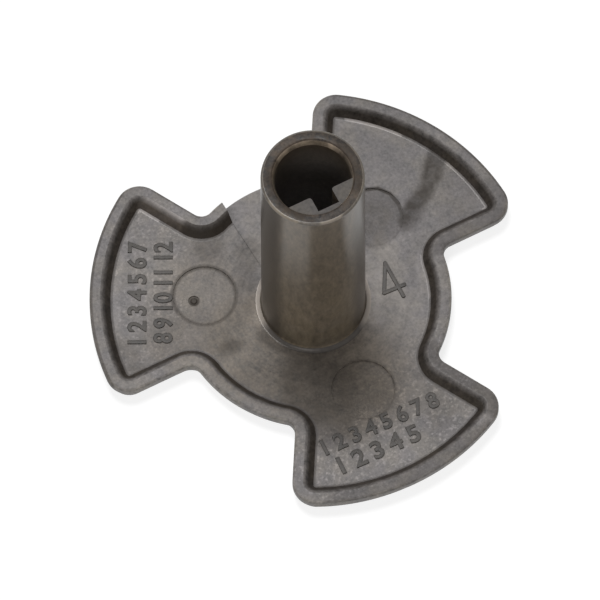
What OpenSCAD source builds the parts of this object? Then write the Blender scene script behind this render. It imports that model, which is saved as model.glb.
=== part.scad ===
// Turntable coupler for a microwave oven, moulded in one piece: a shallow three-winged dish
// with a tall boss in its middle. The boss takes the motor's D shaft, and the wings drive the turntable.
// Lengths are in millimetres. The dish's flat underside lies on z = 0, the boss stands along +Z,
// one wing points along -Y, and the gap in the rim faces +Y.

/* [Dish outline] */
// radius of the wing tips
wing_r = 27.93; // [26.5:0.01:30]
// radius of the round hub between the wings
hub_r = 17.25; // [16.2:0.01:18.2]
// angle between a wing's side and the wing's centre line
side_angle = 30; // [28:0.5:32]
// distance of a wing's side line from the boss axis
side_offset = 1.34; // [0.8:0.01:2]
// rounding of the wing corners
corner_r = 2.95; // [2.8:0.01:3.6]
// rounding where a wing's side runs into the hub
root_r = 1.54; // [1.2:0.01:2]

/* [Dish section] */
// thickness of the plate
plate_t = 1.5; // [1.2:0.05:1.8]
// how far the plate's edge stands back under the rim
plate_inset = 0.6; // [0.3:0.05:1]
// height of the rim's top above the underside
rim_h = 3; // [2.7:0.05:3.4]
// height of the rim's outer face
lip_h = 1.45; // [1.1:0.05:1.6]
// width of the rim's flat top
rim_w = 1.53; // [1.3:0.01:1.7]
// how far the rim's inner face runs inward on its way down to the floor
rim_slope_w = 1.18; // [0.8:0.01:1.3]
// bevel round the rim's outer top edge
rim_edge = 0.2; // [0.1:0.01:0.3]

/* [Gap in the rim] */
// half width of the gap, measured at the boss axis
gap_half_w = 3.2; // [2.5:0.05:3.8]
// how much the gap widens on each side with distance from the axis, in degrees
gap_flare = 4; // [2:0.5:6]
// height of the raised strip that runs from the boss out through the gap
strip_h = 0.2; // [0.1:0.05:0.3]

/* [Moulding marks] */
// distance of the three round ejector marks from the boss axis
mark_pitch_r = 13.6; // [12:0.1:14.2]
// radius of an ejector mark
mark_r = 3.9; // [3.4:0.05:4.2]
// depth of an ejector mark
mark_depth = 0.2; // [0.1:0.05:0.3]
// radius of the gate scar on one mark
gate_r = 0.5; // [0.3:0.05:0.8]
// depth of the gate scar below its mark
gate_depth = 0.45; // [0.2:0.05:0.6]
// distance of the gate scar from its mark's centre
gate_shift = 1.6; // [1:0.1:2.4]

/* [Boss] */
// height of the boss end above the underside
boss_h = 38.8; // [34:0.1:42]
// radius of the boss where it leaves the floor
boss_base_r = 6.5; // [6.3:0.01:6.9]
// radius of the boss at its end
boss_end_r = 6.34; // [6.2:0.01:6.5]
// rounding between boss and floor
boss_root_r = 0.6; // [0.4:0.05:1]
// bevel round the boss end
boss_edge = 0.25; // [0.1:0.05:0.4]

/* [Shaft socket] */
// radius of the socket's round wall
socket_r = 4.68; // [4.3:0.01:4.9]
// radius of the socket at its mouth
mouth_r = 5; // [4.95:0.01:5.3]
// depth of the widened mouth
mouth_depth = 0.9; // [0.5:0.05:1.4]
// thickness of the floor that closes the socket, from the underside
socket_floor = 1.8; // [1.5:0.1:3]
// distance of the flat from the boss axis
flat_dist = 2.18; // [1.8:0.01:2.6]
// how far the flat's end lies below the boss end
flat_drop = 0.3; // [0.1:0.05:0.6]
// width of the groove in the flat
groove_w = 2.8; // [2.2:0.1:3.2]
// distance of the groove's bottom from the boss axis
groove_dist = 4.27; // [3.8:0.01:4.4]
// bevel on the groove's two front edges
groove_edge = 0.35; // [0.2:0.05:0.5]

/* [Hidden] */
wings = 3;
wing_step = 360 / wings;
first_bay = 90;
first_mark = -90;
gate_mark = first_mark + 2 * wing_step;
$fn = 96;
// how far a rounding reaches past the faces that it blends
blend = 0.02;
// how far cutters stand out of what they cut
cut = 0.1;
past = 1;
far = 1.5 * wing_r;
bit_reach = 3 * corner_r;
web_overlap = 0.6;
gap_start_y = 4;
floor_s = rim_w + rim_slope_w;
slope = rim_slope_w / (rim_h - plate_t);
corner_u = sqrt(pow(wing_r - corner_r, 2) - pow(side_offset - corner_r, 2));
corner_n = side_offset - corner_r;
root_u = sqrt(pow(hub_r + root_r, 2) - pow(side_offset + root_r, 2));
root_n = side_offset + root_r;
least_corner = 0.08;
groove_mouth_w = groove_w / 2 + groove_edge;

// How far the outline is drawn in at the height z, where that runs evenly from s0 at z0 to s1 at z1.
function drawn_in(z, s0, s1, z0, z1) = s0 + (s1 - s0) * (z - z0) / (z1 - z0);

// A straight or tapered round, standing on z0.
module round_bar(r0, r1, z0, z1) {
    translate([0, 0, z0])
        cylinder(r1 = r0, r2 = r1, h = z1 - z0);
}

// Everything on the outer side of one wing side, its face leaning from s0 to s1 as it rises.
module beside_wing(s0, s1, z0, z1) {
    rotate([90, 0, 90])
        linear_extrude(height = 2 * far, center = true)
            polygon([
                [side_offset - s0, z0],
                [far, z0],
                [far, z1],
                [side_offset - s1, z1]
            ]);
}

// The sharp bit that comes off a wing corner, so that its rounding is left.
module corner_bit(s0, s1, z0, z1) {
    aim = [corner_u, corner_n] / norm([corner_u, corner_n]);
    translate([corner_u, corner_n, 0])
        difference() {
            translate([0, 0, z0])
                linear_extrude(height = z1 - z0)
                    polygon([[0, 0], bit_reach * aim, bit_reach * (aim + [0, 1]), [0, bit_reach]]);
            round_bar(
                max(corner_r - s0, least_corner) + blend,
                max(corner_r - s1, least_corner) + blend,
                z0,
                z1
            );
        }
}

// The web that stays in the inner corner between a wing's side and the hub.
module root_web(s0, s1, z0, z1) {
    aim = -[root_u, root_n] / norm([root_u, root_n]);
    reach = root_r + max(s0, s1) + web_overlap;
    translate([root_u, root_n, 0])
        difference() {
            translate([0, 0, z0])
                linear_extrude(height = z1 - z0)
                    polygon([[0, 0], reach * aim, reach * (aim - [0, 1]), [0, -reach]]);
            round_bar(root_r + s0 + blend, root_r + s1 + blend, z0, z1);
        }
}

// The open bay between two wings, with the hub's round face at its inner end.
module bay(s0, s1, z0, z1) {
    lean = side_angle - wing_step / 2;
    difference() {
        intersection() {
            rotate(lean)
                beside_wing(s0, s1, z0, z1);
            mirror([0, 1, 0])
                rotate(lean)
                    beside_wing(s0, s1, z0, z1);
        }
        round_bar(hub_r - s0, hub_r - s1, z0, z1);
        rotate(lean)
            root_web(s0, s1, z0, z1);
        mirror([0, 1, 0])
            rotate(lean)
                root_web(s0, s1, z0, z1);
    }
}

// The three-winged outline as a solid, drawn in by s0 at the height z0 and by s1 at z1.
module winged(s0, s1, z0, z1) {
    low = z0 - cut;
    high = z1 + cut;
    low_s = drawn_in(low, s0, s1, z0, z1);
    high_s = drawn_in(high, s0, s1, z0, z1);
    difference() {
        round_bar(wing_r - s0, wing_r - s1, z0, z1);
        for (i = [0 : wings - 1])
            rotate(i * wing_step + first_bay) {
                bay(low_s, high_s, low, high);
                rotate(wing_step / 2 + side_angle)
                    corner_bit(low_s, high_s, low, high);
                mirror([0, 1, 0])
                    rotate(wing_step / 2 + side_angle)
                        corner_bit(low_s, high_s, low, high);
            }
    }
}

// The tray that the sloping rim encloses, open upward.
module tray() {
    winged(floor_s, rim_w - slope * past, plate_t, rim_h + past);
}

module gap_plan() {
    inner = gap_half_w + gap_start_y * tan(gap_flare);
    outer = gap_half_w + far * tan(gap_flare);
    polygon([[-inner, gap_start_y], [inner, gap_start_y], [outer, far], [-outer, far]]);
}

// A low strip that runs from the boss out to the plate's bare edge.
module strip() {
    intersection() {
        translate([0, 0, plate_t - past])
            linear_extrude(height = strip_h + past)
                gap_plan();
        round_bar(hub_r - plate_inset, hub_r - plate_inset, plate_t - past, rim_h);
    }
}

// The rim's outside, bevelled round its top.
module rim_block() {
    intersection() {
        winged(0, 0, rim_h - lip_h, rim_h);
        winged(rim_edge - lip_h, rim_edge, rim_h - lip_h, rim_h);
    }
}

// The plate with its rim, which stands out over the plate's edge and stops at the gap.
module dish() {
    difference() {
        union() {
            winged(plate_inset, plate_inset, 0, rim_h - lip_h + strip_h);
            rim_block();
        }
        tray();
        translate([0, 0, plate_t])
            linear_extrude(height = rim_h)
                gap_plan();
    }
    strip();
}

// The round ejector marks, one on each wing, and the gate scar on one of them.
module marks() {
    for (i = [0 : wings - 1])
        rotate(i * wing_step + first_mark)
            translate([mark_pitch_r, 0, plate_t - mark_depth])
                cylinder(r = mark_r, h = strip_h + mark_depth + past);
    translate([
        mark_pitch_r * cos(gate_mark) - gate_shift,
        mark_pitch_r * sin(gate_mark),
        plate_t - mark_depth - gate_depth
    ])
        cylinder(r = gate_r, h = gate_depth + past);
}

module boss_body() {
    rotate_extrude() {
        polygon([
            [0, plate_t - past],
            [boss_base_r, plate_t - past],
            [boss_base_r, plate_t],
            [boss_end_r, boss_h - boss_edge],
            [boss_end_r - boss_edge, boss_h],
            [0, boss_h]
        ]);
        difference() {
            translate([boss_base_r - boss_root_r, plate_t - past / 2])
                square([2 * boss_root_r, boss_root_r + past / 2]);
            translate([boss_base_r + boss_root_r, plate_t + boss_root_r])
                circle(r = boss_root_r + blend);
        }
    }
}

// The D-shaped socket: a round bore with one flat, and a groove down the middle of the flat.
module socket() {
    difference() {
        union() {
            round_bar(socket_r, socket_r, socket_floor, boss_h + past);
            round_bar(
                socket_r,
                mouth_r + (mouth_r - socket_r) / mouth_depth * past,
                boss_h - mouth_depth,
                boss_h + past
            );
        }
        translate([-far / 2, -far - flat_dist, 0])
            cube([far, far, boss_h - flat_drop]);
    }
    translate([0, 0, socket_floor])
        linear_extrude(height = boss_h + past - socket_floor)
            polygon([
                [-groove_w / 2, -groove_dist],
                [groove_w / 2, -groove_dist],
                [groove_w / 2, -flat_dist - groove_edge],
                [groove_mouth_w, -flat_dist],
                [groove_mouth_w, -flat_dist + groove_edge],
                [-groove_mouth_w, -flat_dist + groove_edge],
                [-groove_mouth_w, -flat_dist],
                [-groove_w / 2, -flat_dist - groove_edge]
            ]);
}

module coupler() {
    color([0.33, 0.31, 0.29])
        difference() {
            union() {
                difference() {
                    dish();
                    marks();
                }
                boss_body();
            }
            socket();
        }
}

coupler();
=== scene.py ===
"""The looks of a microwave turntable coupler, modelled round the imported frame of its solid."""

import math

import bmesh
import bpy
from bpy.props import FloatProperty, FloatVectorProperty, IntProperty, PointerProperty
from mathutils import Matrix, Vector


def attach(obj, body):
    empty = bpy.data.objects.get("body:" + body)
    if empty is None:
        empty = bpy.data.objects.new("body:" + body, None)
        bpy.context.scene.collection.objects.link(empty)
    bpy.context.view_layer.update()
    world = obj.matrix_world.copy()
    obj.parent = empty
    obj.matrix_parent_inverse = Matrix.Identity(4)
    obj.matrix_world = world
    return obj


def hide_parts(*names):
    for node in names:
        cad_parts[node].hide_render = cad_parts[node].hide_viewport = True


bl_info = {
    "name": "Turntable coupler",
    "version": (1, 0, 0),
    "blender": (4, 5, 0),
    "location": "3D View > Sidebar > Coupler",
    "description": "Models a three-winged coupler with its boss, socket, marks and numbers",
    "category": "Object",
}

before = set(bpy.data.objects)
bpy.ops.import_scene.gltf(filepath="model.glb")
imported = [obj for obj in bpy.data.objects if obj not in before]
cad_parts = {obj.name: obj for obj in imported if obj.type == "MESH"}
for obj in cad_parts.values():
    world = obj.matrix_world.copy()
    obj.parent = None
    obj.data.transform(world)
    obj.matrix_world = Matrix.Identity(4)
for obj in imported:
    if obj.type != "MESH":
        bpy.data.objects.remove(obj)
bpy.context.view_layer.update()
NODE = "coupler"
BODY = "root"
WINGS = 3
WING_TURN = math.radians(-90)
WING_STEP = math.tau / WINGS
# in metres: no length at all, how close points count as one, and how far apart faces are kept that
# would otherwise share a plane
TINY = 1e-7
CLOSE = 1e-6
HAIR = 1e-5
# a face whose normal rises or falls by this much counts as level
LEVEL = 0.9
# edges between faces that turn less than this are shaded smooth
SMOOTH_TURN = math.radians(32)
# facets round the cutters of the gap, of a mark and of the gate scar
GAP_FACETS = 240
MARK_FACETS = 120
GATE_FACETS = 24
# facets of one rounding in the profile of rim and boss, and in that of the plate
EDGE_FACETS = 5
FOOT_FACETS = 4
FINISHES = (
    "sparked_plastic",
    "lip_plastic",
    "draft_plastic",
    "crease_plastic",
    "root_plastic",
    "boss_plastic",
    "edge_plastic",
    "boss_end_plastic",
    "flat_plastic",
    "mouth_plastic",
    "bore_plastic",
)
# spin turns clockwise about its axis, so a left turn seen from above takes this one
LEFT = (0, 0, -1)

# noise cells to the metre: flow clouds, tint, speckle, grain, sparkles, swirls, and the wander and
# the breaks of the grease and the painted shadow
CLOUD_CELLS = 150
TINT_CELLS = 300
SPECKLE_CELLS = 1100
GRAIN_CELLS = 2800
SPARKLE_CELLS = 2400
SWIRL_CELLS = 1300
WANDER_CELLS = 350
BREAK_CELLS = 600
# how far grease and painted shadow wander from their place, and the swirls' length for one radian,
# in metres
WANDER = 0.0014
SWIRL_LENGTH = 0.0018
# where something fades, in metres: heights on the floor and on the rim, and radii of the swirls
FLOOR_FADE = (0.0017, 0.0022)
RIM_FADE = (0.0024, 0.0028)
SWIRL_FADE = (0.011, 0.018)

# how far the cool and the warm tint of a finish stand off its colour
COOL = (-0.015, -0.01, 0.03)
WARM = (0.015, 0.0, -0.04)

# The tables below hold soft-edged places in plan, in millimetres: x and y of a line's start and
# end, half width, soft edge, strength, and the radius of a ring round the line where there is one.

# grease smeared over the floor, and painted shadow of the boss on the floor in front of it
GREASE_AND_SHADOW = (
    (23.0, 10.6, 21.3, 8.9, 0.5, 1.3, 0.9),
    (21.3, 8.7, 19.5, 7.0, 0.4, 1.4, 0.85),
    (19.5, 7.0, 17.2, 5.7, 0.5, 1.4, 0.85),
    (17.2, 5.7, 14.8, 4.3, 0.3, 1.5, 0.8),
    (17.3, 5.0, 15.4, 4.1, 0.3, 1.3, 0.55),
    (-12.8, -0.7, -11.4, -0.9, 0.3, 1.4, 0.5),
    (-12.6, 1.0, -9.8, 3.0, 0.8, 2.5, 0.2),
    (-7.4, 14.5, -8.2, 12.6, 0.8, 2.2, 0.33),
    (-7.2, -1.7, -5.5, -5.4, 0.5, 1.6, 0.45),
    (-24.4, 5.0, -24.2, 1.8, 0.8, 1.5, 0.25),
    (-11.6, -5.3, -9.6, -9.0, 1.0, 2.0, 0.22),
    (-6.2, -8.5, -7.6, -13.0, 1.5, 3.2, 0.58),
    (12.2, 6.9, 11.0, 6.2, 3.0, 1.0, 0.35),
    (-3.0, -8.5, -5.0, -15.5, 1.5, 4.0, 0.5),
    (-2.1, -13.5, 1.2, -15.2, 1.0, 3.0, 0.32),
    (-3.9, 9.5, -7.2, 3.8, 0.8, 1.6, 0.32),
    (8.3, -15.2, 12.5, -22.8, 0.3, 1.4, 0.5),
    (23.5, 7.5, 22.0, 3.5, 1.5, 2.0, 0.15),
    (-17.5, 2.5, -14.0, 2.0, 2.0, 2.5, 0.15),
    (7.0, -20.5, 9.0, -17.0, 1.0, 2.5, 0.2),
)
# painted highlight on the two sides of the boss root
ROOT_HIGHLIGHT = (
    (-5.9, 4.0, -6.6, 1.6, 0.8, 2.2, 3.5),
    (7.2, -1.8, 5.4, -4.8, 0.8, 1.8, 3.4),
)
# darker bands up the sides of the boss: painted shade where its sides turn away from view
BOSS_SIDE_SHADE = (
    (-5.9, 2.9, -6.2, -1.0, 0.6, 2.2, 0.78),
    (6.3, -0.5, 5.9, -2.6, 0.3, 1.0, 1.0),
    (5.7, -2.9, 4.2, -4.9, 0.8, 1.8, 0.6),
)
# painted shade along the rim top, on the right and near sides
RIM_SHADE = (
    (26.9, 3.0, 25.7, -0.8, 0.8, 1.0, 0.22),
    (25.7, -0.8, 15.3, -0.8, 0.8, 1.0, 0.35),
    (9.3, -12.3, 13.4, -24.3, 0.8, 1.0, 0.4),
    (11.2, -26.2, -2.1, -27.5, 0.8, 1.0, 0.3),
    (-2.1, -27.5, -9.5, -25.8, 0.8, 1.0, 0.25),
)
# brownish tinge over the floor: round the boss a painted reflection of the brown boss, on the left
# wing the floor's own tone
BROWN_TINGE = (
    (-9.0, -2.0, -1.0, -11.5, 4.5, 6.0, 0.9),
    (-17.0, 3.0, -11.0, 8.0, 3.0, 4.0, 0.5),
)
# painted light and painted shade on the rim's sloping inner face
DRAFT_PAINTED_LIGHT = ((-12.8, 20.7, -10.0, 16.7, 0.2, 1.1, 1.05),)
DRAFT_SHADE = (
    (-9.3, 14.9, -6.8, 13.7, 1.2, 0.8, 0.7),
    (-6.8, 13.7, -4.8, 14.2, 1.2, 0.8, 0.7),
)
# painted highlight: light caught by the crease round the floor
CREASE_LIGHT = (
    (-13.7, 20.6, -12.5, 18.8, 0.25, 0.35, 1.2),
    (15.3, 20.3, 17.9, 17.9, 0.25, 0.35, 1.5),
    (17.9, 17.9, 19.8, 15.2, 0.25, 0.35, 1.2),
    (23.4, 8.9, 24.2, 5.2, 0.2, 0.35, 0.8),
    (24.2, 5.2, 24.7, 1.7, 0.2, 0.35, 1.0),
    (14.5, -0.9, 13.0, -6.0, 0.2, 0.4, 0.6),
    (-20.8, 15.4, -22.8, 11.8, 0.2, 0.4, 0.4),
)
# painted shade in the grooves round the marks, along the rim's outer edge round the wing tips and
# along the plate's edge by the gap, and a dark blot in the gate scar
SHADE_RINGS_AND_SCAR = (
    (0, -13.6, 0, -13.6, 0.05, 0.35, 0.35, 3.95),
    (11.78, 6.8, 11.78, 6.8, 0.1, 0.3, 0.15, 3.9),
    (12.6, 10.6, 14.2, 10.0, 0.1, 0.3, 0.8),
    (14.2, 10.0, 15.2, 8.7, 0.1, 0.3, 0.85),
    (15.2, 8.7, 15.5, 7.0, 0.1, 0.3, 0.8),
    (15.5, 7.0, 15.3, 5.5, 0.1, 0.3, 0.7),
    (15.3, 5.5, 14.4, 4.1, 0.1, 0.3, 0.65),
    (14.4, 4.1, 12.9, 3.1, 0.1, 0.3, 0.3),
    (-0.35, -0.2, -0.35, -0.2, 0.25, 0.2, 0.5, 28.3),
    (0.35, -0.2, 0.35, -0.2, 0.25, 0.2, 0.5, 28.3),
    (-7.8, 16.2, -11.1, 21.9, 0.15, 0.25, 0.5),
    (-11.78, 6.8, -11.78, 6.8, 0.1, 0.4, 0.5, 3.95),
    (-13.28, 6.75, -13.28, 6.75, 0.45, 0.45, 0.85),
)
# painted shade round the mouth's edge, on the boss end and in the mouth
MOUTH_SHADE = (
    (4.8, 1.5, 4.1, -3.1, 0.5, 1.2, 0.55),
    (-4.4, 2.2, -4.6, -1.5, 0.2, 1.0, 0.5),
    (-4.6, -1.5, -3.6, -3.6, 0.4, 0.8, 0.6),
)
# bright specks at the mouth's edge: worn spots, painted as highlights
WORN_SPECK_HIGHLIGHTS = (
    (4.1, 2.9, 4.4, 2.1, 0.2, 0.4, 1.2),
    (-2.3, 4.2, -1.4, 4.6, 0.2, 0.4, 0.7),
    (0.4, 4.9, 1.6, 4.7, 0.2, 0.4, 0.3),
)
# painted highlights on the boss end, round its edge and at the mouth, with the worn specks
END_HIGHLIGHTS = (
    *WORN_SPECK_HIGHLIGHTS,
    (-1.3, -5.0, 1.7, -4.9, 0.4, 0.6, 0.5),
    (3.0, -4.4, 4.6, -2.8, 0.4, 0.6, 0.4),
    (4.8, 1.9, 5.1, -0.4, 0.3, 0.5, 1.0),
    (0, 0, 0, 0, 0.05, 0.25, 0.6, 5.1),
    (0.0, 5.6, -2.5, 5.0, 0.3, 0.9, 0.7),
    (-5.0, -2.8, -4.0, -4.3, 0.3, 0.9, 0.5),
)
# painted highlights along the edge of the boss end
EDGE_HIGHLIGHTS = (
    (-6.1, -1.1, -4.8, -3.9, 0.4, 0.8, 1.0),
    (-1.4, -6.1, 0.2, -6.0, 0.3, 0.6, 1.6),
)
# lighter places on floor and rim: painted highlights beside the boss root and along the creases,
# painted light in the boss's shadow, and rubbed places
RUBBED_AND_HIGHLIGHTS = (
    (-16.3, -2.2, -26.0, -0.7, 0.8, 1.0, 0.1),
    (-7.1, 4.3, -7.5, 0.8, 0.2, 0.8, 0.25),
    (9.1, 1.2, 5.9, -5.7, 0.7, 1.4, 0.3),
    (6.9, 1.0, 7.5, -2.2, 0.3, 1.0, 0.3),
    (-19.3, 15.8, -21.6, 12.7, 0.5, 0.8, 0.35),
    (-21.6, 12.7, -23.7, 8.4, 0.5, 0.8, 0.35),
    (14.5, -0.9, 12.9, -5.0, 0.3, 0.6, 0.2),
    (-2.0, -8.4, 0.5, -8.6, 0.5, 1.5, 0.3),
    (8.4, -7.3, 9.5, -6.0, 2.0, 2.5, 0.15),
    (9.5, 1.5, 12.5, 3.2, 0.8, 2.5, 0.25),
    (7.0, -3.2, 5.6, -5.6, 0.5, 0.9, 0.6),
    (14.4, 20.2, 17.4, 17.7, 0.3, 0.8, 0.3),
    (17.4, 17.7, 19.6, 14.9, 0.3, 0.8, 0.25),
    (16.5, 14.4, 17.9, 10.6, 2.5, 3.0, 0.12),
    (4.0, -8.8, 6.4, -11.2, 1.0, 2.0, 0.2),
    (0.0, 8.0, 0.0, 15.0, 3.0, 1.0, 0.22),
    (0.0, -21.0, -8.0, -20.0, 2.5, 3.0, 0.15),
    (-15.0, 16.9, -21.2, 4.1, 3.0, 3.0, 0.1),
)
# places where the floor's texture sparkles
SPARKLES = (
    (-15.0, 16.9, -21.2, 4.1, 3.5, 4, 0.7),
    (-7.7, -21.5, 7.5, -20.5, 3.5, 4, 1.0),
    (3.0, -17.0, 11.0, -14.0, 3.0, 4, 0.6),
)

# strokes of the cavity digit in plan: start and end, in millimetres
DIGIT = (
    ((10.29, 0.42), (8.33, -3.15)),
    ((8.33, -3.15), (11.08, -3.27)),
    ((10.29, 0.42), (10.28, -4.6)),
)

# rows of numbers: name, words, place of the middle in millimetres, turn in degrees, width and
# height in millimetres, and how much the strokes are widened
FIGURES = (
    ("coupler_scale_first", "1 2 3 4 5 6 7", (-19.1, 11.0), 63.1, 14.0, 2.5, 0.03),
    ("coupler_scale_second", "8 9 10 11 12", (-16.2, 9.5), 63.1, 13.8, 2.5, 0.03),
    ("coupler_count_first", "1 2 3 4 5 6 7 8", (-0.2, -18.6), -1.7, 15.8, 2.3, 0.03),
    ("coupler_count_second", "1 2 3 4 5", (-1.9, -21.6), -1.7, 11.0, 2.4, 0.03),
)

# lamps: name, turn from the camera's side and elevation in degrees, and size in metres
LAMPS = (
    ("back_lamp", 203, 74, 0.34),
    ("front_lamp", -15, 38, 0.5),
)
# distance of the lamps from the part, size of the floor and its height, in metres
LAMP_DISTANCE = 1.0
FLOOR_SIZE = 12
FLOOR_Z = -5e-5


def length(name, text, millimetres):
    metres = millimetres / 1000
    return FloatProperty(
        name=name, description=text, default=metres, min=0, unit="LENGTH", precision=5
    )


def angle(name, text, degrees):
    by = math.radians(degrees)
    return FloatProperty(name=name, description=text, default=by, unit="ROTATION", subtype="ANGLE")


def colour(name, text, red, green, blue):
    return FloatVectorProperty(
        name=name, description=text, default=(red, green, blue), min=0, max=1, subtype="COLOR"
    )


def share(name, text, value):
    return FloatProperty(name=name, description=text, default=value, min=0, max=1, subtype="FACTOR")


class DishSizes(bpy.types.PropertyGroup):
    wing_r: length("Wing radius", "Radius of the wing tips", 27.92)
    hub_r: length("Hub radius", "Radius of the round hub between the wings", 17.25)
    side_angle: angle("Side angle", "Angle between a wing's side and its centre line", 30)
    side_offset: length("Side offset", "Distance of a wing's side line from the boss axis", 1.34)
    corner_r: length("Corner radius", "Rounding of the wing corners", 2.95)
    root_r: length("Root radius", "Rounding where a wing's side meets the hub", 1.54)
    plate_t: length("Plate thickness", "Height of the dish's floor above the underside", 1.5)
    plate_inset: length("Plate inset", "How far the plate's edge stands back under the rim", 0.6)
    rim_h: length("Rim height", "Height of the rim's top above the underside", 3)
    lip_h: length("Lip height", "Height of the rim's outer face", 1.45)
    rim_w: length("Rim width", "Width of the rim's flat top", 1.53)
    slope_w: length("Slope width", "How far the rim's inner face runs inward", 1.18)
    edge_r: length("Edge rounding", "Rounding of the rim's outer edges", 0.34)
    inner_edge_r: length("Inner edge rounding", "Rounding between rim top and slope", 0.45)
    crease_r: length("Crease rounding", "Rounding between slope and floor", 0.42)
    gap_half_w: length("Gap half width", "Half the rim gap's width, measured at the boss axis", 3.2)
    gap_flare: angle("Gap flare", "How much the gap widens on each side", 4)
    strip_h: length("Strip height", "Height of the raised strip in the gap", 0.15)
    strip_start: length("Strip start", "Where the strip starts, from the boss axis", 4)
    arc_step: angle("Arc step", "Angle of one facet on the large arcs", 1.5)
    corner_step: angle("Corner step", "Angle of one facet on the small arcs", 7.5)


class MarkSizes(bpy.types.PropertyGroup):
    pitch_r: length("Mark distance", "Distance of the round marks from the boss axis", 13.6)
    mark_r: length("Mark radius", "Radius of a round mark", 3.97)
    depth: length("Mark depth", "Depth of a mark's disc below the floor", 0.1)
    ring_w: length("Ring width", "Width of the fine groove round a mark", 0.27)
    ring_depth: length("Ring depth", "Depth of that groove below the floor", 0.15)
    gate_r: length("Gate radius", "Radius of the gate scar", 0.7)
    gate_depth: length("Gate depth", "Depth of the gate scar below the floor", 0.32)
    gate_x: length("Gate place", "Distance of the gate scar from the middle plane", 13.28)


class BossSizes(bpy.types.PropertyGroup):
    height: length("Boss height", "Height of the boss end above the underside", 38.8)
    base_r: length("Base radius", "Radius where the boss leaves the floor", 6.5)
    end_r: length("End radius", "Radius at the boss end", 6.34)
    root_r: length("Root rounding", "Rounding between boss and floor", 0.8)
    edge_r: length("Edge rounding", "Rounding round the boss end", 0.3)
    bore_r: length("Bore radius", "Radius of the socket's round wall", 4.68)
    bore_draft: length("Bore draft", "How much narrower the bore is at its floor", 0.02)
    mouth_r: length("Mouth radius", "Radius of the socket at its mouth", 5)
    mouth_depth: length("Mouth depth", "Depth of the widened mouth", 0.9)
    mouth_edge: length("Mouth edge", "Rounding of the mouth's upper edge", 0.3)
    socket_floor: length("Socket floor", "Height of the socket's floor", 1.8)
    flat_dist: length("Flat distance", "Distance of the flat from the boss axis", 2.18)
    flat_drop: length("Flat drop", "How far the flat's end lies below the boss end", 0.3)
    groove_w: length("Groove width", "Width of the groove in the flat", 2.8)
    groove_dist: length("Groove distance", "Distance of the groove's bottom from the axis", 4.27)
    groove_edge: length("Groove edge", "Rounding of the groove's front edges", 0.35)
    facets: IntProperty(name="Facets", description="Facets round the boss", default=144, min=24)


class FigureSizes(bpy.types.PropertyGroup):
    relief: length("Relief", "How far digit and numbers stand out of the floor", 0.17)
    sunk: length("Sunk", "How far they reach into the floor", 0.08)
    space: share("Space", "Width of the spaces between the numbers", 0.8)
    stroke: length("Stroke", "Width of the cavity digit's strokes", 0.5)


class PlasticColours(bpy.types.PropertyGroup):
    sparked: colour("Sparked faces", "Colour of the finely textured faces", 0.151, 0.139, 0.133)
    # the draft faces' dark colour is partly their polish and partly painted shade
    polished: colour("Polished faces", "Colour of the polished draft faces", 0.043, 0.036, 0.03)
    # the lip is lighter than the sparked faces: painted light on the rim's outer face
    lip: colour("Lip", "Colour of the rim's outer face", 0.2, 0.185, 0.172)
    # the root is darker than boss and floor: painted shade in the corner at the boss's foot
    root: colour("Boss root", "Colour of the rounding at the boss's foot", 0.074, 0.066, 0.059)
    # the edge is lighter than the boss end: painted highlight on its rounding
    edge: colour("Boss edge", "Colour of the worn edge of the boss end", 0.09, 0.076, 0.06)
    # the boss is lighter below its low height than above its top height: painted light from the
    # dish below
    boss: colour("Boss faces", "Colour of the boss's smooth faces", 0.172, 0.139, 0.098)
    boss_top: colour("Boss top", "Colour of the upper half of these faces", 0.12, 0.095, 0.066)
    sheen: colour("Boss sheen", "Tint of what the boss's faces reflect", 1, 0.94, 0.89)
    boss_low_z: length("Boss low height", "Height up to which the boss has its lower colour", 8)
    boss_top_z: length("Boss top height", "Height from which the boss has its upper colour", 26)
    boss_end: colour("Boss end", "Colour of the handled boss end", 0.037, 0.029, 0.023)
    flat: colour("Flat", "Colour of the end of the flat in the socket", 0.08, 0.072, 0.065)
    # the mouth is far lighter than the boss end: painted highlight on the mouth's rounded edge
    mouth: colour("Mouth", "Colour of the cone at the socket's mouth", 0.26, 0.21, 0.16)
    bore: colour("Bore", "Colour of the bore in its lower part", 0.25, 0.235, 0.225)
    bore_top: colour("Bore top", "Colour of the bore near its mouth", 0.075, 0.058, 0.042)
    bore_low_z: length("Bore low height", "Height up to which the bore has its lower colour", 24)
    bore_top_z: length("Bore top height", "Height from which the bore has its upper colour", 37.5)
    # near the boss the tinge is a painted reflection of the brown boss
    tinge: colour("Film", "Colour of the floor under the brownish film", 0.149, 0.126, 0.102)
    # the digits are darkest at their foot and lighter on top: painted shade at the foot
    figures: colour("Figures", "Colour of the digits at their foot", 0.025, 0.021, 0.017)
    figure_tops: colour("Figure tops", "Colour of the digits on top", 0.06, 0.054, 0.049)
    figure_foot: length("Figure foot", "Height where the digits are darkest", 1.54)
    figure_top: length("Figure top", "Height where the digits are lightest", 1.66)
    # the grime colour also serves for painted shade and painted shadow
    grime_and_shade: colour("Grime", "Colour of the grease in the worn places", 0.03, 0.024, 0.019)
    clouds: share("Clouds", "How strongly the wide flow clouds show", 0.3)
    speckle: share("Speckle", "How strongly the millimetre speckle shows", 0.5)
    grain: share("Grain", "How strongly the fine grain shows", 0.35)
    # painted shade: the draft is darkest at the dark height, low by the crease, and as light as the
    # rim at the light height
    dark_z: length("Dark height", "Height where the polished draft is darkest", 2.4)
    light_z: length("Light height", "Height where the draft is as light as the rim", 3.0)


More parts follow.
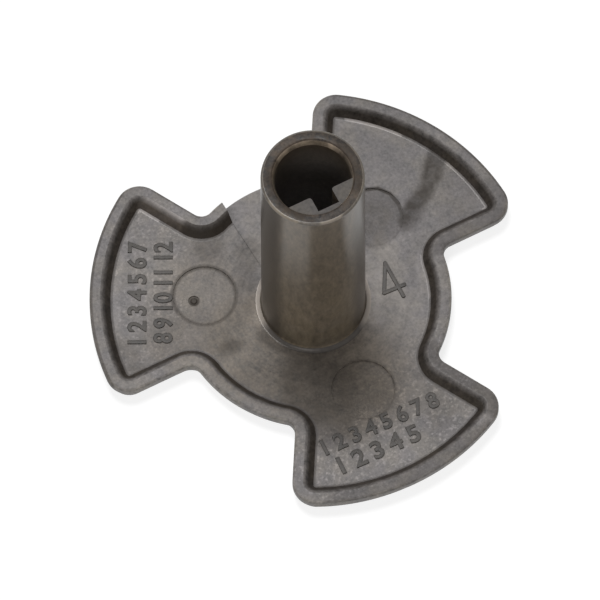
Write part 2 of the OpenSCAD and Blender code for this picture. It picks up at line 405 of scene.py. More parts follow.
class StageSettings(bpy.types.PropertyGroup):
    lens: FloatProperty(name="Lens", description="Focal length in millimetres", default=540)
    azimuth: angle("Azimuth", "Camera direction round the part", -26.665)
    elevation: angle("Elevation", "Camera height above the horizon", 66.362)
    roll: angle("Roll", "Camera roll", -0.4625)
    distance: length("Distance", "Distance of the camera from the part", 1125)
    aside: FloatProperty(
        name="Aside", description="Sideways aim of the camera", default=0.0016714, unit="LENGTH"
    )
    above: FloatProperty(
        name="Above", description="Upward aim of the camera", default=-0.00066546, unit="LENGTH"
    )
    back: FloatProperty(name="Back", description="Power of the lamp behind the part", default=6)
    front: FloatProperty(name="Front", description="Power of the lamp over the camera", default=2.0)
    world: share("Surroundings", "Strength of the light from all sides", 0.19)


def only(obj):
    """Leaves obj as the one selected and active object."""
    if bpy.context.mode != "OBJECT":
        bpy.ops.object.mode_set(mode="OBJECT")
    bpy.ops.object.select_all(action="DESELECT")
    obj.select_set(True)
    bpy.context.view_layer.objects.active = obj


def edit(obj):
    only(obj)
    bpy.ops.object.mode_set(mode="EDIT")


def leave_edit():
    bpy.ops.object.mode_set(mode="OBJECT")


def fresh(name):
    """Names the object that was just added, and goes into edit mode with it all selected."""
    obj = bpy.context.object
    obj.name = name
    obj.data.name = name
    for finish in FINISHES:
        obj.data.materials.append(bpy.data.materials[finish])
    only(obj)
    bpy.ops.object.transform_apply(location=True, rotation=True, scale=True)
    edit(obj)
    pick_all()
    return obj


def disc(name, facets, radius, z):
    bpy.ops.mesh.primitive_circle_add(
        vertices=facets, radius=radius, fill_type="NGON", location=(0, 0, z)
    )
    return fresh(name)


def pick(kind, test):
    """In edit mode, selects the faces or edges that pass the test, and nothing else."""
    bpy.ops.mesh.select_mode(type=kind)
    bpy.ops.mesh.select_all(action="DESELECT")
    data = bpy.context.edit_object.data
    mesh = bmesh.from_edit_mesh(data)
    found = False
    for part in mesh.faces if kind == "FACE" else mesh.edges:
        if test(part):
            part.select_set(True)
            found = True
    mesh.select_flush_mode()
    bmesh.update_edit_mesh(data)
    if not found:
        raise RuntimeError("nothing was picked")


def pick_all():
    bpy.ops.mesh.select_all(action="SELECT")


def faces_up(face):
    return face.normal.z > LEVEL


def faces_down(face):
    return face.normal.z < -LEVEL


def middle(part):
    return sum((v.co for v in part.verts), Vector()) / len(part.verts)


def draw_out(x, y, z):
    bpy.ops.mesh.extrude_region_move(TRANSFORM_OT_translate={"value": (x, y, z)})


def turn_outward():
    """Selects all faces and turns their normals outward."""
    pick_all()
    bpy.ops.mesh.normals_make_consistent(inside=False)


def rounded(points, steps):
    """The line through (inset, height, rounding) points, with an arc at each rounded one."""
    line = [Vector(points[0][:2])]
    for before, (s, z, r), after in zip(points, points[1:], points[2:]):
        here = Vector((s, z))
        if r <= 0:
            line.append(here)
            continue
        came = (here - Vector(before[:2])).normalized()
        goes = (Vector(after[:2]) - here).normalized()
        turn = abs(came.angle_signed(goes))
        way = 1 if came.cross(goes) > 0 else -1
        start = here - came * (r * math.tan(turn / 2))
        centre = start + Vector((-came.y, came.x)) * way * r
        arm = start - centre
        for i in range(steps + 1):
            cos = math.cos(turn * way * i / steps)
            sin = math.sin(turn * way * i / steps)
            line.append(centre + Vector((arm.x * cos - arm.y * sin, arm.x * sin + arm.y * cos)))
    line.append(Vector(points[-1][:2]))
    return line


def put_finish(name):
    """Gives the selected faces a finish, which the faces drawn out of them then keep."""
    obj = bpy.context.edit_object
    obj.active_material_index = FINISHES.index(name)
    bpy.ops.object.material_slot_assign()


def follow(line, upward, finishes=()):
    """Insets or extrudes the selected face along a line of (inset, height) points.
    finishes holds (inset, finish) pairs: from that inset on, new faces get that finish."""
    waiting = list(finishes)
    for here, there in zip(line, line[1:]):
        while waiting and here[0] >= waiting[0][0] - TINY:
            put_finish(waiting.pop(0)[1])
        inward, rise = there - here
        if inward >= TINY:
            depth = rise if upward else -rise
            bpy.ops.mesh.inset(thickness=inward, depth=depth, use_even_offset=True)
        elif abs(rise) > TINY:
            draw_out(0, 0, rise)


def split(place, normal, drop=False):
    """Cuts all of the mesh with a plane, and drops the side of its normal if asked."""
    pick_all()
    bpy.ops.mesh.bisect(plane_co=place, plane_no=normal, clear_outer=drop, threshold=TINY)


def turned(v, by):
    return Matrix.Rotation(by, 2) @ Vector(v)


def sweep(start, end):
    """The angle from one direction to another, the short way round."""
    return math.remainder(math.atan2(end[1], end[0]) - math.atan2(start[1], start[0]), math.tau)


def arc(centre, by, step, z):
    """Draws the selected end of the line out along an arc."""
    steps = max(1, round(abs(by) / step))
    bpy.ops.mesh.spin(steps=steps, angle=by, center=(*centre, z), axis=LEFT)


def line_to(here, there):
    draw_out(there[0] - here[0], there[1] - here[1], 0)


def trace_third(d, z):
    """Traces one wing and half a bay on each side of it, from one vertex."""
    corner_n = d.side_offset - d.corner_r
    corner_u = math.sqrt((d.wing_r - d.corner_r) ** 2 - corner_n**2)
    root_n = d.side_offset + d.root_r
    root_u = math.sqrt((d.hub_r + d.root_r) ** 2 - root_n**2)
    flip = Matrix(((1, 0), (0, -1)))
    corner = turned((corner_u, corner_n), d.side_angle)
    root = turned((root_u, root_n), d.side_angle)
    out = turned((0, 1), d.side_angle)
    corner_a, root_a, out_a = (turned(flip @ p, WING_TURN) for p in (corner, root, out))
    corner_b, root_b, out_b = (turned(p, WING_TURN) for p in (corner, root, out))
    start = turned((d.hub_r, 0), WING_TURN - WING_STEP / 2)
    bpy.ops.mesh.primitive_plane_add(size=d.root_r, location=(*start, z))
    obj = fresh("coupler_dish")
    bpy.ops.mesh.merge(type="CENTER")
    arc((0, 0), sweep(start, root_a), d.arc_step, z)
    arc(root_a, sweep(-root_a, -out_a), d.corner_step, z)
    line_to(root_a - out_a * d.root_r, corner_a + out_a * d.corner_r)
    arc(corner_a, sweep(out_a, corner_a), d.corner_step, z)
    arc((0, 0), sweep(corner_a, corner_b), d.arc_step, z)
    arc(corner_b, sweep(corner_b, out_b), d.corner_step, z)
    line_to(corner_b + out_b * d.corner_r, root_b - out_b * d.root_r)
    arc(root_b, sweep(-out_b, -root_b), d.corner_step, z)
    arc((0, 0), sweep(root_b, turned(start, WING_STEP)), d.arc_step, z)
    return obj


def cut_with(obj, tool, operation="DIFFERENCE"):
    """Takes the tool away from obj, or joins it on, and drops the tool."""
    only(obj)
    before = len(obj.data.polygons) / 2
    step = obj.modifiers.new("cut", "BOOLEAN")
    step.operation = operation
    step.solver = "EXACT"
    step.object = tool
    bpy.ops.object.modifier_apply(modifier=step.name)
    if len(obj.data.polygons) < before:
        raise RuntimeError(f"{obj.name} lost faces to {tool.name}")
    only(tool)
    bpy.ops.object.delete()
    only(obj)


def finish_piece(obj, finish=None):
    """Shades the piece and hands it to the frame, all in one finish where that is given."""
    if finish:
        obj.data.materials.clear()
        obj.data.materials.append(bpy.data.materials[finish])
    only(obj)
    bpy.ops.object.shade_smooth_by_angle(angle=SMOOTH_TURN)
    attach(obj, BODY)


def node(tree, kind, values=None, **settings):
    """Adds a node; a value that is a socket is linked, and any other is set."""
    made = tree.nodes.new("ShaderNode" + kind)
    for key, value in settings.items():
        setattr(made, key, value)
    for key, value in (values or {}).items():
        if isinstance(value, bpy.types.NodeSocket):
            tree.links.new(value, made.inputs[key])
        else:
            made.inputs[key].default_value = value
    return made


def empty_tree(owner):
    owner.use_nodes = True
    owner.node_tree.nodes.clear()
    return owner.node_tree


def sums(tree, operation, *values, clamp=False):
    values = {i: v for i, v in enumerate(values)}
    return node(tree, "Math", values, operation=operation, use_clamp=clamp).outputs[0]


def noise(tree, place, scale, detail=2, roughness=0.5):
    """Noise whose cells are about 1/scale metres wide."""
    values = {"Vector": place, "Scale": scale, "Detail": detail, "Roughness": roughness}
    return node(tree, "TexNoise", values).outputs["Fac"]


def ramp(tree, value, low, high, to_low=0.0, to_high=1.0, kind="SMOOTHSTEP"):
    values = {"Value": value, "From Min": low, "From Max": high}
    values.update({"To Min": to_low, "To Max": to_high})
    return node(tree, "MapRange", values, interpolation_type=kind).outputs[0]


def mixed(tree, factor, one, other):
    return node(tree, "Mix", {0: factor, 6: one, 7: other}, data_type="RGBA").outputs[2]


def away_from(tree, place, start, end):
    """Distance in plan from the line that runs from start to end, given in millimetres."""
    start, end = (Vector((*spot, 0)) / 1000 for spot in (start, end))
    run = end - start
    values = {"Vector": place, "Location": start, "Rotation": (0, 0, math.atan2(run.y, run.x))}
    moved = node(tree, "Mapping", values, vector_type="TEXTURE")
    apart = node(tree, "SeparateXYZ", {0: moved.outputs[0]})
    along = apart.outputs["X"]
    held = sums(tree, "MINIMUM", sums(tree, "MAXIMUM", along, 0.0), run.length)
    beyond = sums(tree, "SUBTRACT", along, held)
    flat = node(tree, "CombineXYZ", {"X": beyond, "Y": apart.outputs["Y"]})
    return node(tree, "VectorMath", {0: flat.outputs[0]}, operation="LENGTH").outputs["Value"]


def patches(tree, place, table):
    """The strongest of some soft-edged places, 0 outside them all."""
    most = 0.0
    for x0, y0, x1, y1, core, soft, strength, *ring in table:
        away = away_from(tree, place, (x0, y0), (x1, y1))
        for radius in ring:
            away = sums(tree, "ABSOLUTE", sums(tree, "SUBTRACT", away, radius / 1000))
        near = ramp(tree, away, core / 1000, (core + soft) / 1000, strength, 0.0)
        most = sums(tree, "MAXIMUM", most, near)
    return most


def shade(tint):
    return (*tint, 1.0)


def coarse_noise(tree, place, scale, detail=3):
    """Noise stretched to run from about -1 to 1."""
    return ramp(tree, noise(tree, place, scale, detail, 0.6), 0.2, 0.8, -1, 1, "LINEAR")


def dirt_and_shade_mask(tree, place, spot, smears_and_shadow, rings, handled=()):
    """Where grease and painted shade lie: grease and painted shadow on the floor, rings and lines
    of painted shade, and painted shade on the rim top.
    """
    wander = node(tree, "TexNoise", {"Vector": place, "Scale": WANDER_CELLS, "Detail": 2})
    values = {0: wander.outputs["Color"], 1: (0.5,) * 3}
    pulled = node(tree, "VectorMath", values, operation="SUBTRACT")
    values = {0: pulled.outputs[0], 1: (WANDER,) * 3, 2: place}
    moved = node(tree, "VectorMath", values, operation="MULTIPLY_ADD")
    low = ramp(tree, spot.outputs["Z"], *FLOOR_FADE, 1, 0)
    broken = ramp(tree, noise(tree, place, BREAK_CELLS, 3), 0.35, 0.6, 0.68, 1)
    mask = sums(tree, "MULTIPLY", patches(tree, moved.outputs[0], smears_and_shadow), low)
    mask = sums(tree, "MULTIPLY", mask, broken)
    mask = sums(tree, "MAXIMUM", mask, patches(tree, place, rings))
    # painted shade along the rim top
    high = ramp(tree, spot.outputs["Z"], *RIM_FADE)
    rim = sums(tree, "MULTIPLY", patches(tree, place, handled), high)
    return sums(tree, "MAXIMUM", mask, rim)


def swirls(tree, place, spot, strength):
    """Fine marks that run round the boss, from machining the mould."""
    away = away_from(tree, place, (0, 0), (0, 0.001))
    turn = sums(tree, "MULTIPLY", spot.outputs["Y"], -1.0)
    turn = sums(tree, "ARCTAN2", spot.outputs["X"], turn)
    round_it = sums(tree, "MULTIPLY", turn, SWIRL_LENGTH)
    unrolled = node(tree, "CombineXYZ", {"X": away, "Y": round_it}).outputs[0]
    near = ramp(tree, away, *SWIRL_FADE, strength, 0)
    return sums(tree, "MULTIPLY", coarse_noise(tree, unrolled, SWIRL_CELLS), near)


def plastic(
    name, c, base, roughness, specular, calm=1.0, gloss=0.06, bump=0, drawn=0, sheen=None,
    rise=None, tinge=(), sparkle=(), swirl=0, light=(), dirt_and_shade=(), dull=0.25
):
    """Moulded plastic with flow clouds, speckle and fine grain, in the base colour.
    calm: how far these show, less below 1 and more above
    gloss: how far the roughness varies
    bump: how rough the surface stands
    drawn: how far the pattern is drawn out upward, below 1
    sheen: tint of the reflections
    rise: two heights in metres, and the colour that the upper one has
    film, sparkle, light: tables of a brownish tinge, in part painted reflection of the boss, of
    sparkling places, and of lighter places, in part rubbed and in part painted highlight
    swirl: how far the marks round the boss show
    dirt: tables of grease and painted shadow, of rings and lines of painted shade, and of painted
    shade on the rim top
    dull: how far these take the gloss away"""
    material = bpy.data.materials.new(name)
    tree = empty_tree(material)
    place = node(tree, "TexCoord").outputs["Object"]
    spot = node(tree, "SeparateXYZ", {0: place})
    pattern = place
    if drawn:
        pattern = node(tree, "Mapping", {"Vector": place, "Scale": (1, 1, drawn)}).outputs[0]
    clouds = coarse_noise(tree, pattern, CLOUD_CELLS)
    spots = coarse_noise(tree, pattern, SPECKLE_CELLS)
    grain = coarse_noise(tree, pattern, GRAIN_CELLS, 2)
    tone = 1.0
    for layer, strength in ((clouds, c.clouds), (spots, c.speckle), (grain, c.grain)):
        tone = sums(tree, "MULTIPLY_ADD", layer, strength * calm, tone)
    tint = min(1.0, calm)
    cool, warm = (tuple(base[i] * (1 + by[i] * tint) for i in range(3)) for by in (COOL, WARM))
    warmer = ramp(tree, noise(tree, place, TINT_CELLS, 2), 0.35, 0.65)
    toned = mixed(tree, warmer, shade(cool), shade(warm))
    if rise:
        low, high, top = rise
        upper = ramp(tree, spot.outputs["Z"], low, high, kind="LINEAR")
        toned = mixed(tree, upper, toned, shade(top))
    if tinge:
        toned = mixed(tree, patches(tree, place, tinge), toned, shade(c.tinge))
    if sparkle:
        points = ramp(tree, noise(tree, place, SPARKLE_CELLS, 1), 0.5, 0.8)
        points = sums(tree, "MULTIPLY", points, patches(tree, place, sparkle))
        tone = sums(tree, "ADD", tone, points)
    if swirl:
        tone = sums(tree, "ADD", tone, swirls(tree, place, spot, swirl))
    if light:
        tone = sums(tree, "ADD", tone, patches(tree, place, light))
    scaled = node(tree, "VectorMath", {0: toned, 1: (1, 1, 1)}, operation="MULTIPLY")
    tree.links.new(tone, scaled.inputs[1])
    shown = scaled.outputs[0]
    spread = gloss * calm
    rough = ramp(tree, spots, -1, 1, roughness - spread, roughness + spread)
    # the dirt tables hold grease and painted shade, mixed in with the grime colour
    if dirt_and_shade:
        mask = dirt_and_shade_mask(tree, place, spot, *dirt_and_shade)
        shown = mixed(tree, mask, shown, shade(c.grime_and_shade))
        rough = sums(tree, "MULTIPLY_ADD", mask, dull, rough, clamp=True)
    values = {"Base Color": shown, "Roughness": rough, "Specular IOR Level": specular}
    if sheen:
        values["Specular Tint"] = shade(sheen)
    if bump:
        heights = sums(tree, "MULTIPLY_ADD", spots, 0.6, grain)
        raised = node(tree, "Bump", {"Height": heights, "Strength": bump, "Distance": 0.00001})
        values["Normal"] = raised.outputs[0]
    shader = node(tree, "BsdfPrincipled", values)
    output = node(tree, "OutputMaterial")
    tree.links.new(shader.outputs[0], output.inputs["Surface"])
    return material


def seen_white(tree):
    """1 for camera, mirror and see-through rays, which see the white background."""
    path = node(tree, "LightPath")
    both = sums(tree, "MAXIMUM", path.outputs["Is Camera Ray"], path.outputs["Is Glossy Ray"])
    return sums(tree, "MAXIMUM", both, path.outputs["Is Transmission Ray"])


def direction(azimuth, elevation):
    """The direction from the part to something that stands round it."""
    level = math.cos(elevation)
    return Vector((math.sin(azimuth) * level, -math.cos(azimuth) * level, math.sin(elevation)))


class COUPLER_OT_finishes(bpy.types.Operator):
    """Mix the finishes of the moulding"""

    bl_idname = "coupler.finishes"
    bl_label = "Finishes"

    def execute(self, context):
        c = context.scene.coupler_colours
        # grease and painted shadow on the floor, rings and lines of painted shade, and painted
        # shade on the rim top
        dirt_and_shade = (GREASE_AND_SHADOW, SHADE_RINGS_AND_SCAR, RIM_SHADE)
        mouth_shade = ((), MOUTH_SHADE)
        # painted light from the dish on the boss's lower part
        boss = (c.boss_low_z, c.boss_top_z, c.boss_top)
        bore = (c.bore_low_z, c.bore_top_z, c.bore_top)
        # painted shade on the draft, deepest low by the crease
        draft = (c.dark_z, c.light_z, c.sparked)
        # painted shade at the digits' foot
        raised = (c.figure_foot, c.figure_top, c.figure_tops)
        plastic(
            "sparked_plastic", c, c.sparked, 0.5, 0.35, bump=0.7, dirt_and_shade=dirt_and_shade, tinge=BROWN_TINGE,
            light=RUBBED_AND_HIGHLIGHTS, sparkle=SPARKLES, swirl=0.35
        )
        plastic("lip_plastic", c, c.lip, 0.5, 0.35, bump=0.3, dirt_and_shade=dirt_and_shade)
        plastic(
            "draft_plastic", c, c.polished, 0.4, 0.12, bump=0.2, rise=draft, light=DRAFT_PAINTED_LIGHT,
            dirt_and_shade=((), DRAFT_SHADE)
        )
        plastic(
            "crease_plastic", c, c.sparked, 0.42, 0.4, calm=0.6, light=CREASE_LIGHT, dirt_and_shade=dirt_and_shade
        )
        plastic(
            "root_plastic", c, c.root, 0.3, 0.3, calm=0.5, gloss=0, sheen=c.sheen,
            light=ROOT_HIGHLIGHT
        )
        plastic(
            "boss_plastic", c, c.boss, 0.31, 0.48, calm=0.75, gloss=0.01, drawn=0.4,
            sheen=c.sheen, rise=boss, dirt_and_shade=((), BOSS_SIDE_SHADE), dull=0
        )
        plastic("edge_plastic", c, c.edge, 0.35, 0.5, light=EDGE_HIGHLIGHTS)
        plastic(
            "boss_end_plastic", c, c.boss_end, 0.4, 0.12, calm=2.5, bump=0.3, light=END_HIGHLIGHTS,
            dirt_and_shade=mouth_shade
        )
        plastic("flat_plastic", c, c.flat, 0.4, 0.12, bump=0.2)
        plastic("mouth_plastic", c, c.mouth, 0.4, 0.3, light=WORN_SPECK_HIGHLIGHTS, dirt_and_shade=mouth_shade)
        plastic("bore_plastic", c, c.bore, 0.4, 0.2, calm=0.5, rise=bore)
        plastic("figure_plastic", c, c.figures, 0.5, 0.3, rise=raised)
        return {"FINISHED"}


class COUPLER_OT_dish(bpy.types.Operator):
    """Model the three-winged dish with its sloping rim, its gap and its raised strip"""

    bl_idname = "coupler.dish"
    bl_label = "Dish"

    def execute(self, context):
        d = context.scene.coupler_dish
        top = d.rim_h - d.edge_r
        obj = trace_third(d, top)
        pick_all()
        all_round = WING_STEP * (WINGS - 1)
        bpy.ops.mesh.spin(
            steps=WINGS - 1, dupli=True, angle=all_round, center=(0, 0, top), axis=LEFT
        )
        pick_all()
        bpy.ops.mesh.remove_doubles(threshold=CLOSE)
        pick_all()
        bpy.ops.mesh.edge_face_add()
        low = d.rim_h - d.lip_h
        pick("FACE", lambda f: True)
        put_finish("lip_plastic")
        draw_out(0, 0, low + d.edge_r - top)
        turn_outward()
        # the plate's lower edge is rounded less than the rim
        foot = 0.8 * d.edge_r
        wall = d.rim_w + d.slope_w
        lean = math.atan2(d.rim_h - d.plate_t, d.slope_w)
        tilt = math.tan(lean / 2)
        reach = d.crease_r * tilt
        rim = (
            (0, low, 0),
            (0, d.rim_h, d.edge_r),
            (d.rim_w, d.rim_h, d.inner_edge_r),
            (wall, d.plate_t, d.crease_r),
            (wall + reach + 2 * HAIR, d.plate_t, 0),
        )
        # some finishes start partway round a rounding
        finishes = (
            (d.edge_r * 0.5, "sparked_plastic"),
            (d.rim_w - d.inner_edge_r * tilt, "draft_plastic"),
            (wall - reach * 0.8, "crease_plastic"),
            (wall + reach, "sparked_plastic"),
        )
        pick("FACE", faces_up)
        follow(rounded(rim, EDGE_FACETS)[1:], True, finishes)
        plate = (
            (0, top, 0),
            (0, low, d.edge_r),
            (d.plate_inset, low, 0),
            (d.plate_inset, 0, foot),
            (d.plate_inset + 2 * foot, 0, 0),
        )
        pick("FACE", faces_down)
        follow(rounded(plate, FOOT_FACETS)[1:], False)
        leave_edit()
        cut_with(obj, self.gap_cutter(d))
        cut_with(obj, self.strip(d), "UNION")
        return {"FINISHED"}

    def wedge(self, d, name, outer_r, low, high, wider):
        """A sector of a disc between the gap's two sides, or a little wider."""
        obj = disc(name, GAP_FACETS, outer_r, low)
        for side in (-1, 1):
            out = (side * math.cos(d.gap_flare), -math.sin(d.gap_flare), 0)
            split((side * (d.gap_half_w + wider), 0, low), out, True)
        split((0, d.strip_start, low), (0, -1, 0), True)
        pick_all()
        draw_out(0, 0, high - low)
        turn_outward()
        leave_edit()
        return obj

    def gap_cutter(self, d):
        return self.wedge(d, "gap_cutter", 1.2 * d.wing_r, d.plate_t - HAIR, 2 * d.rim_h, 0)

    def strip(self, d):
        outer_r = d.hub_r - d.plate_inset - 2 * HAIR
        return self.wedge(d, "strip", outer_r, d.plate_t / 2, d.plate_t + d.strip_h, HAIR)


class COUPLER_OT_boss(bpy.types.Operator):
    """Model the boss with its bore, its flat and the groove down the flat"""

    bl_idname = "coupler.boss"
    bl_label = "Boss"

    def execute(self, context):
        d = context.scene.coupler_dish
        b = context.scene.coupler_boss
        foot = b.base_r + b.root_r
        obj = disc("coupler_boss", b.facets, foot, d.plate_t / 2)
        draw_out(0, 0, d.plate_t / 2 - HAIR)
        turn_outward()
        low = d.plate_t - HAIR
        # the root's rounding stops a little short of the foot's edge
        profile = (
            (0, low, 0),
            (b.root_r, low, b.root_r * 0.98),
            (foot - b.end_r, b.height, b.edge_r),
            (foot - b.mouth_r, b.height, b.mouth_edge),
            (foot - b.bore_r, b.height - b.mouth_depth, 0),
            (foot - b.bore_r + b.bore_draft, b.socket_floor, 0),
        )
        # some finishes start partway round a rounding
        finishes = (
            (0, "root_plastic"),
            (b.root_r * 0.7, "boss_plastic"),
            (foot - b.end_r - HAIR, "edge_plastic"),
            (foot - b.end_r + b.edge_r * 0.8, "boss_end_plastic"),
            (foot - b.mouth_r + b.mouth_edge * 0.05, "mouth_plastic"),
            (foot - b.bore_r, "bore_plastic"),
        )
        pick("FACE", faces_up)
        follow(rounded(profile, EDGE_FACETS), True, finishes)
        leave_edit()
        cut_with(obj, self.flat(b), "UNION")
        return {"FINISHED"}

    def flat(self, b):
        """The part of the bore that is filled, less its groove."""
        reach = (b.mouth_r + b.end_r) / 2
        # it starts below the socket's floor, so that the two overlap
        low = b.socket_floor * 0.8
        obj = disc("flat", b.facets, reach, low)
        split((0, -b.flat_dist, low), (0, 1, 0), True)
        split((b.groove_w / 2, 0, low), (1, 0, 0))
        split((-b.groove_w / 2, 0, low), (1, 0, 0))
        split((0, -b.groove_dist, low), (0, 1, 0))
        pick(
            "FACE",
            lambda f: abs(middle(f).x) < b.groove_w / 2 and middle(f).y > -b.groove_dist,
        )
        bpy.ops.mesh.delete(type="FACE")
        pick_all()
        draw_out(0, 0, b.height - b.flat_drop - low)
        turn_outward()
        pick(
            "EDGE",
            lambda e: abs(e.verts[0].co.z - e.verts[1].co.z) > b.height / 2
            and abs(abs(middle(e).x) - b.groove_w / 2) < CLOSE
            and abs(middle(e).y + b.flat_dist) < CLOSE,
        )
        bpy.ops.mesh.bevel(offset=b.groove_edge, segments=4, affect="EDGES")
        pick_all()
        put_finish("bore_plastic")
        pick("FACE", faces_up)
        put_finish("flat_plastic")
        leave_edit()
        return obj


class COUPLER_OT_marks(bpy.types.Operator):
    """Sink the three round ejector marks and the gate scar into the floor"""

    bl_idname = "coupler.marks"
    bl_label = "Marks"

    def execute(self, context):
        d = context.scene.coupler_dish
        m = context.scene.coupler_marks
        dish = bpy.data.objects["coupler_dish"]
        for i in range(WINGS):
            place = turned((m.pitch_r, 0), WING_TURN + i * WING_STEP)
            cut_with(dish, self.mark_cutter(d, m, place))
        cut_with(dish, self.gate_cutter(d, m))
        return {"FINISHED"}

    def pit(self, name, facets, radius, depth, place, steps):
        """A cylinder whose lower face is inset in steps of (thickness, depth)."""
        bpy.ops.mesh.primitive_cylinder_add(
            vertices=facets, radius=radius, depth=depth, location=place
        )
        obj = fresh(name)
        pick("FACE", faces_down)
        for thickness, rise in steps:
            bpy.ops.mesh.inset(thickness=thickness, depth=rise)
        leave_edit()
        return obj

    def mark_cutter(self, d, m, place):
        """A disc with a thin deeper ring round its lower edge."""
        depth = m.ring_depth + d.rim_h
        place = (*place, d.plate_t - m.ring_depth + depth / 2)
        steps = ((m.ring_w / 3, 0), (m.ring_w * 2 / 3, m.depth - m.ring_depth))
        return self.pit("mark_cutter", MARK_FACETS, m.mark_r, depth, place, steps)

    def gate_cutter(self, d, m):
        """A rough round pit where the gate broke off."""
        mark = turned((m.pitch_r, 0), WING_TURN + 2 * WING_STEP)
        place = (-m.gate_x, mark.y, d.plate_t)
        steps = ((m.gate_r * 0.4, 0), (m.gate_r * 0.2, -m.gate_depth * 0.6))
        return self.pit("gate_cutter", GATE_FACETS, m.gate_r, 2 * m.gate_depth, place, steps)


class COUPLER_OT_join(bpy.types.Operator):
    """Join boss and dish into one moulding, and give it its finishes"""

    bl_idname = "coupler.join"
    bl_label = "Join"

    def execute(self, context):
        dish = bpy.data.objects["coupler_dish"]
        cut_with(dish, bpy.data.objects["coupler_boss"], "UNION")
        dish.name = dish.data.name = "coupler_moulding"
        finish_piece(dish)
        only(dish)
        weigh = dish.modifiers.new("weigh", "WEIGHTED_NORMAL")
        weigh.keep_sharp = True
        bpy.ops.object.modifier_apply(modifier=weigh.name)
        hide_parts(NODE)
        return {"FINISHED"}


class COUPLER_OT_digit(bpy.types.Operator):
    """Model the raised cavity digit out of three bars"""

    bl_idname = "coupler.digit"
    bl_label = "Digit"

    def execute(self, context):
        n = context.scene.coupler_figures
        floor = context.scene.coupler_dish.plate_t
        bars = [self.bar(n, floor, i, *ends) for i, ends in enumerate(DIGIT)]
        for other in bars[1:]:
            cut_with(bars[0], other, "UNION")
        finish_piece(bars[0], "figure_plastic")
        return {"FINISHED"}

    def bar(self, n, floor, i, start, end):
        """One stroke with rounded ends and a rounded top."""
        start, end = (Vector(p) / 1000 for p in (start, end))
        run = end - start
        # each bar is a hair taller than the one before, so that no two tops share a plane
        high, low = floor + n.relief + i * HAIR, floor - n.sunk - i * HAIR
        bpy.ops.mesh.primitive_cube_add(
            size=1,
            location=(*((start + end) / 2), (low + high) / 2),
            rotation=(0, 0, math.atan2(run.y, run.x)),
            scale=(run.length + n.stroke, n.stroke, high - low),
        )
        obj = fresh("coupler_cavity_digit")
        pick("EDGE", lambda e: abs(e.verts[0].co.z - e.verts[1].co.z) > n.relief / 2)
        bpy.ops.mesh.bevel(offset=n.stroke * 0.4, segments=4, affect="EDGES")
        pick("EDGE", lambda e: min(v.co.z for v in e.verts) > high - TINY)
        bpy.ops.mesh.bevel(offset=n.relief * 0.4, segments=3, affect="EDGES")
        leave_edit()
        return obj


class COUPLER_OT_figures(bpy.types.Operator):
    """Model the raised rows of plain counting numbers"""

    bl_idname = "coupler.figures"
    bl_label = "Figures"

    def execute(self, context):
        d = context.scene.coupler_dish
        n = context.scene.coupler_figures
        for name, words, place, turn, width, height, bold in FIGURES:
            obj = self.raised(name, words, (width / 1000, height / 1000), bold, n, d.plate_t)
            only(obj)
            bpy.ops.transform.rotate(
                value=-math.radians(turn), orient_axis="Z", center_override=(0, 0, 0)
            )
            bpy.ops.transform.translate(value=(place[0] / 1000, place[1] / 1000, 0))
            bpy.ops.object.transform_apply(location=True, rotation=True, scale=True)
            finish_piece(obj, "figure_plastic")
        return {"FINISHED"}

    def raised(self, name, words, size, bold, n, floor):
        """Solid figures centred on the origin in plan, standing out of the floor."""
        bpy.ops.object.text_add(location=(0, 0, 0))
        obj = bpy.context.object
        obj.data.body = words
        # before they are brought to size, the figures are about a metre high
        obj.data.extrude = 0.1
        obj.data.bevel_depth = bold
        obj.data.bevel_resolution = 1
        obj.data.space_word = n.space
        obj.data.resolution_u = 4
        obj.name = name
        only(obj)
        bpy.ops.object.convert(target="MESH")
        obj = bpy.context.object
        corners = [v.co.copy() for v in obj.data.vertices]
        low = Vector(min(v[i] for v in corners) for i in range(3))
        high = Vector(max(v[i] for v in corners) for i in range(3))
        grown = [size[0] / (high.x - low.x), size[1] / (high.y - low.y)]
        grown.append((n.relief + n.sunk) / (high.z - low.z))
        edit(obj)
        pick_all()
        bpy.ops.transform.translate(value=-(low + high) / 2)
        bpy.ops.transform.resize(value=grown, center_override=(0, 0, 0))
        bpy.ops.transform.translate(value=(0, 0, floor + (n.relief - n.sunk) / 2))
        bpy.ops.mesh.remove_doubles(threshold=CLOSE)
        turn_outward()
        leave_edit()
        obj.data.name = name
        return obj


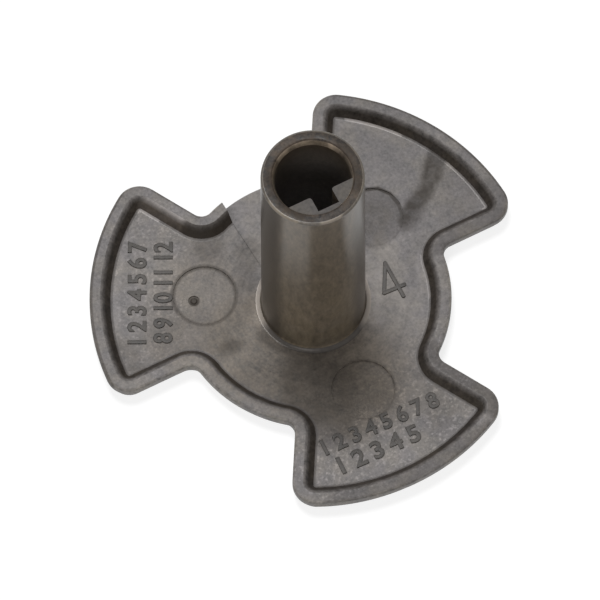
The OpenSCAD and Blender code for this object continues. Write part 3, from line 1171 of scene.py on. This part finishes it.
class COUPLER_OT_stage(bpy.types.Operator):
    """Set up the floor, the lamps, the surroundings and the camera"""

    bl_idname = "coupler.stage"
    bl_label = "Stage"

    def execute(self, context):
        g = context.scene.coupler_stage
        self.camera(context, g)
        self.floor()
        self.surroundings(context, g)
        for settings, power in zip(LAMPS, (g.back, g.front)):
            self.lamp(g, power, *settings)
        return {"FINISHED"}

    def lamp(self, g, power, name, aside, elevation, size):
        """An area lamp that looks at the part."""
        back = direction(g.azimuth + math.radians(aside), math.radians(elevation))
        bpy.ops.object.light_add(type="AREA")
        lamp = bpy.context.object
        lamp.name = name
        lamp.data.shape = "DISK"
        lamp.data.size = size
        lamp.data.energy = power
        aim = back.to_track_quat("Z", "Y").to_matrix().to_4x4()
        lamp.matrix_world = Matrix.Translation(back * LAMP_DISTANCE) @ aim

    def floor(self):
        bpy.ops.mesh.primitive_plane_add(size=FLOOR_SIZE, location=(0, 0, FLOOR_Z))
        floor = bpy.context.object
        floor.name = "floor"
        bpy.ops.object.transform_apply(location=True, rotation=True, scale=True)
        material = bpy.data.materials.new("white_floor")
        tree = empty_tree(material)
        # card is what lights the part from below; what is seen is a white that takes its shadow
        card = node(tree, "BsdfDiffuse", {"Color": (0.8, 0.8, 0.8, 1)})
        dim = node(tree, "BsdfDiffuse", {"Color": (0.3, 0.3, 0.3, 1)})
        glow = node(tree, "Emission", {"Color": (1, 1, 1, 1), "Strength": 0.8})
        bright = node(tree, "AddShader", {0: dim.outputs[0], 1: glow.outputs[0]})
        values = {0: seen_white(tree), 1: card.outputs[0], 2: bright.outputs[0]}
        both = node(tree, "MixShader", values)
        output = node(tree, "OutputMaterial")
        tree.links.new(both.outputs[0], output.inputs["Surface"])
        floor.data.materials.append(material)

    def surroundings(self, context, g):
        world = bpy.data.worlds.new("white_surroundings")
        context.scene.world = world
        tree = empty_tree(world)
        strength = sums(tree, "MULTIPLY_ADD", seen_white(tree), 1 - g.world, g.world)
        back = node(tree, "Background", {"Color": (1, 1, 1, 1), "Strength": strength})
        output = node(tree, "OutputWorld")
        tree.links.new(back.outputs[0], output.inputs["Surface"])

    def camera(self, context, g):
        level = Vector((math.cos(g.azimuth), math.sin(g.azimuth), 0))
        back = direction(g.azimuth, g.elevation)
        upright = back.cross(level)
        right = level * math.cos(g.roll) + upright * math.sin(g.roll)
        up = upright * math.cos(g.roll) - level * math.sin(g.roll)
        bpy.ops.object.camera_add()
        camera = context.object
        camera.name = "camera"
        camera.data.lens = g.lens
        camera.data.sensor_width = 36
        camera.data.clip_start = 0.01
        camera.data.clip_end = 50
        pose = Matrix((right, up, back)).transposed().to_4x4()
        pose.translation = back * g.distance - right * g.aside - up * g.above
        camera.matrix_world = pose
        context.scene.camera = camera
        context.scene.view_settings.view_transform = "Standard"


class COUPLER_PT_panel(bpy.types.Panel):
    bl_idname = "COUPLER_PT_panel"
    bl_label = "Coupler"
    bl_space_type = "VIEW_3D"
    bl_region_type = "UI"
    bl_category = "Coupler"

    def draw(self, context):
        for step in STEPS:
            self.layout.operator(step.bl_idname)


STEPS = (
    COUPLER_OT_finishes,
    COUPLER_OT_dish,
    COUPLER_OT_marks,
    COUPLER_OT_boss,
    COUPLER_OT_join,
    COUPLER_OT_digit,
    COUPLER_OT_figures,
    COUPLER_OT_stage,
)
SETTINGS = {
    "coupler_dish": DishSizes,
    "coupler_marks": MarkSizes,
    "coupler_boss": BossSizes,
    "coupler_figures": FigureSizes,
    "coupler_colours": PlasticColours,
    "coupler_stage": StageSettings,
}


def register():
    for cls in (*SETTINGS.values(), *STEPS, COUPLER_PT_panel):
        bpy.utils.register_class(cls)
    for name, cls in SETTINGS.items():
        setattr(bpy.types.Scene, name, PointerProperty(type=cls))


def unregister():
    for name in SETTINGS:
        delattr(bpy.types.Scene, name)
    for cls in reversed((*SETTINGS.values(), *STEPS, COUPLER_PT_panel)):
        bpy.utils.unregister_class(cls)


def main():
    register()
    bpy.ops.coupler.finishes()
    bpy.ops.coupler.dish()
    bpy.ops.coupler.marks()
    bpy.ops.coupler.boss()
    bpy.ops.coupler.join()
    bpy.ops.coupler.digit()
    bpy.ops.coupler.figures()
    bpy.ops.coupler.stage()


if __name__ == "__main__":
    main()
